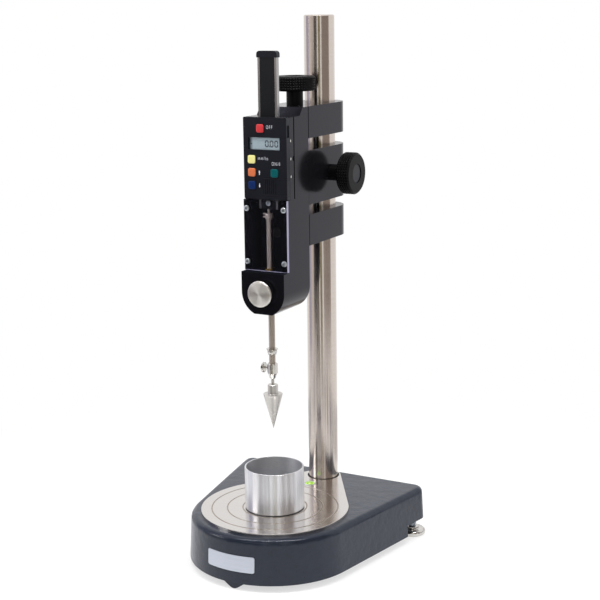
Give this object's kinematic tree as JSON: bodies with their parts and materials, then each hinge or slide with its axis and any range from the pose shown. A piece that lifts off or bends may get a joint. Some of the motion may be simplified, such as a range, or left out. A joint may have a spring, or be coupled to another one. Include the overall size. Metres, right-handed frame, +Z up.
{
  "type": "cone penetrometer",
  "caption": "Bench cone penetrometer: cast base with a round work plate and cup, upright column, clamped fine-adjust head, digital gauge and a released plunger that drops a pointed cone.",
  "frame": {"origin": "on the bench, at the middle of the overall width and depth", "axes": "+Z up along the column, -Y to the front where the gauge faces, +X to the right where the lock knob is"},
  "size_m": [0.217, 0.217, 0.5265],
  "materials": {
    "base_enamel": "textured slate blue enamel on cast iron",
    "ground_steel": "fine turned and ground stainless steel",
    "column_steel": "centreless ground stainless steel",
    "zinc_steel": "bright zinc plated steel",
    "polished_steel": "polished nickel plated steel",
    "black_anodised": "satin black anodised aluminium",
    "knob_black": "moulded black phenolic with a diamond grip",
    "black_plastic": "fine grained black plastic",
    "brass": "turned brass",
    "clear_acrylic": "clear acrylic with polished edges",
    "spun_aluminium": "spun aluminium with fine turning lines",
    "label_silver": "bare brushed aluminium plate",
    "label_white": "white printed lettering",
    "level_green": "yellow green spirit level liquid",
    "lcd_grey": "grey green liquid crystal glass",
    "board_green": "green circuit board",
    "key_red": "red plastic key",
    "key_yellow": "yellow plastic key",
    "key_orange": "orange plastic key",
    "key_blue": "blue plastic key",
    "key_teal": "teal plastic key"
  },
  "bodies": {
    "stand": {"base_casting": "base_enamel", "front_plate": "label_silver", "work_plate": "ground_steel", "plate_screws": "zinc_steel", "level_case": "spun_aluminium", "level_vial": "level_green", "column": "column_steel", "column_bolt": "zinc_steel", "column_washer": "zinc_steel"},
    "clamp_block": {"clamp_block": "black_anodised", "fine_nut": "brass", "outer_cotter": "brass"},
    "head": {"head_body": "black_anodised", "upper_arm": "black_anodised", "lower_arm": "black_anodised", "arm_screws": "zinc_steel", "arm_dowels": "zinc_steel", "window_cover": "clear_acrylic", "window_screws": "zinc_steel", "upper_bush": "brass", "lower_bush": "brass", "release_spring": "zinc_steel", "gauge_case": "black_plastic", "gauge_slider": "black_anodised", "gauge_screws": "zinc_steel", "gib_strip": "brass", "gib_screws": "polished_steel", "gauge_board": "board_green", "lcd_panel": "lcd_grey", "battery": "polished_steel"},
    "fine_screw": {"fine_knob": "knob_black", "fine_screw": "zinc_steel", "fine_collar": "zinc_steel"},
    "lock_knob": {"lock_knob": "knob_black", "lock_screw": "zinc_steel"},
    "inner_cotter": {"inner_cotter": "brass"},
    "plunger": {"plunger_rod": "ground_steel", "plunger_lug": "ground_steel", "stop_collar": "polished_steel", "cone_chuck": "polished_steel"},
    "beam": {"scale_beam": "ground_steel", "beam_strip": "black_plastic", "beam_cap": "black_plastic", "beam_screw": "zinc_steel"},
    "release_button": {"release_cap": "polished_steel", "release_shaft": "black_anodised"},
    "off_key": {"off_key": "key_red"},
    "unit_key": {"unit_key": "key_yellow"},
    "up_key": {"up_key": "key_orange"},
    "down_key": {"down_key": "key_blue"},
    "zero_key": {"zero_key": "key_teal"},
    "battery_cover": {"battery_cover": "black_plastic"},
    "thumb_screw": {"thumb_screw": "polished_steel"},
    "cone": {"cone": "polished_steel"},
    "cup": {"cup": "spun_aluminium"},
    "left_foot_screw": {"left_foot_screw": "zinc_steel"},
    "left_foot_disc": {"left_foot_disc": "polished_steel"},
    "right_foot_screw": {"right_foot_screw": "zinc_steel"},
    "right_foot_disc": {"right_foot_disc": "polished_steel"}
  },
  "joints": [
    {"name": "coarse_height", "type": "slide", "parent": "stand", "child": "clamp_block", "axis": [0, 0, 1], "range_m": [-0.01, 0.074]},
    {"name": "fine_height", "type": "slide", "parent": "clamp_block", "child": "head", "axis": [0, 0, 1], "range_m": [-0.009, 0.009]},
    {"name": "fine_turn", "type": "hinge", "parent": "head", "child": "fine_screw", "pos_m": [0, 0.028, 0.443], "axis": [0, 0, 1], "range_deg": [-2160.5, 2160.5]},
    {"name": "lock_turn", "type": "hinge", "parent": "clamp_block", "child": "lock_knob", "pos_m": [0, 0.06, 0.3755], "axis": [1, 0, 0], "range_deg": [0, 180.5]},
    {"name": "lock_release", "type": "slide", "parent": "clamp_block", "child": "inner_cotter", "axis": [-1, 0, 0], "range_m": [0, 0.000625]},
    {"name": "plunger_drop", "type": "slide", "parent": "head", "child": "plunger", "axis": [0, 0, -1], "range_m": [0, 0.04]},
    {"name": "beam_travel", "type": "slide", "parent": "head", "child": "beam", "axis": [0, 0, -1], "range_m": [0, 0.04]},
    {"name": "release_press", "type": "slide", "parent": "head", "child": "release_button", "axis": [0, 1, 0], "range_m": [0, 0.003], "stiffness_N_per_m": 3000, "springref_m": -0.001, "deforming": ["release_spring"]},
    {"name": "off_press", "type": "slide", "parent": "head", "child": "off_key", "axis": [0, 1, 0], "range_m": [0, 0.0006], "stiffness_N_per_m": 1500},
    {"name": "unit_press", "type": "slide", "parent": "head", "child": "unit_key", "axis": [0, 1, 0], "range_m": [0, 0.0006], "stiffness_N_per_m": 1500},
    {"name": "up_press", "type": "slide", "parent": "head", "child": "up_key", "axis": [0, 1, 0], "range_m": [0, 0.0006], "stiffness_N_per_m": 1500},
    {"name": "down_press", "type": "slide", "parent": "head", "child": "down_key", "axis": [0, 1, 0], "range_m": [0, 0.0006], "stiffness_N_per_m": 1500},
    {"name": "zero_press", "type": "slide", "parent": "head", "child": "zero_key", "axis": [0, 1, 0], "range_m": [0, 0.0006], "stiffness_N_per_m": 1500},
    {"name": "battery_cover_slide", "type": "slide", "parent": "head", "child": "battery_cover", "axis": [1, 0, 0], "range_m": [0, 0.026]},
    {"name": "thumb_turn", "type": "hinge", "parent": "plunger", "child": "thumb_screw", "pos_m": [-0.009, -0.024, 0.1945], "axis": [-1, 0, 0], "range_deg": [0, 360]},
    {"name": "cone_draw", "type": "slide", "parent": "plunger", "child": "cone", "axis": [0, 0, -1], "range_m": [0, 0.012]},
    {"name": "cup_turn", "type": "hinge", "parent": "stand", "child": "cup", "pos_m": [0, -0.024, 0.054], "axis": [0, 0, 1], "continuous": true},
    {"name": "left_foot_lift", "type": "slide", "parent": "stand", "child": "left_foot_screw", "axis": [0, 0, 1], "range_m": [-0.0025, 0.0025]},
    {"name": "left_foot_turn", "type": "hinge", "parent": "left_foot_screw", "child": "left_foot_disc", "pos_m": [-0.095, 0.095, 0], "axis": [0, 0, 1], "range_deg": [-720.5, 720.5]},
    {"name": "right_foot_lift", "type": "slide", "parent": "stand", "child": "right_foot_screw", "axis": [0, 0, 1], "range_m": [-0.0025, 0.0025]},
    {"name": "right_foot_turn", "type": "hinge", "parent": "right_foot_screw", "child": "right_foot_disc", "pos_m": [0.095, 0.095, 0], "axis": [0, 0, 1], "range_deg": [-720.5, 720.5]}
  ],
  "couplings": [
    {"joint": "fine_turn", "follows": "fine_height", "rad_per_m": 4188.8},
    {"joint": "lock_turn", "follows": "lock_release", "rad_per_m": 5026.5},
    {"joint": "beam_travel", "follows": "plunger_drop", "ratio": 1},
    {"joint": "left_foot_turn", "follows": "left_foot_lift", "rad_per_m": 5026.5},
    {"joint": "right_foot_turn", "follows": "right_foot_lift", "rad_per_m": 5026.5}
  ]
}
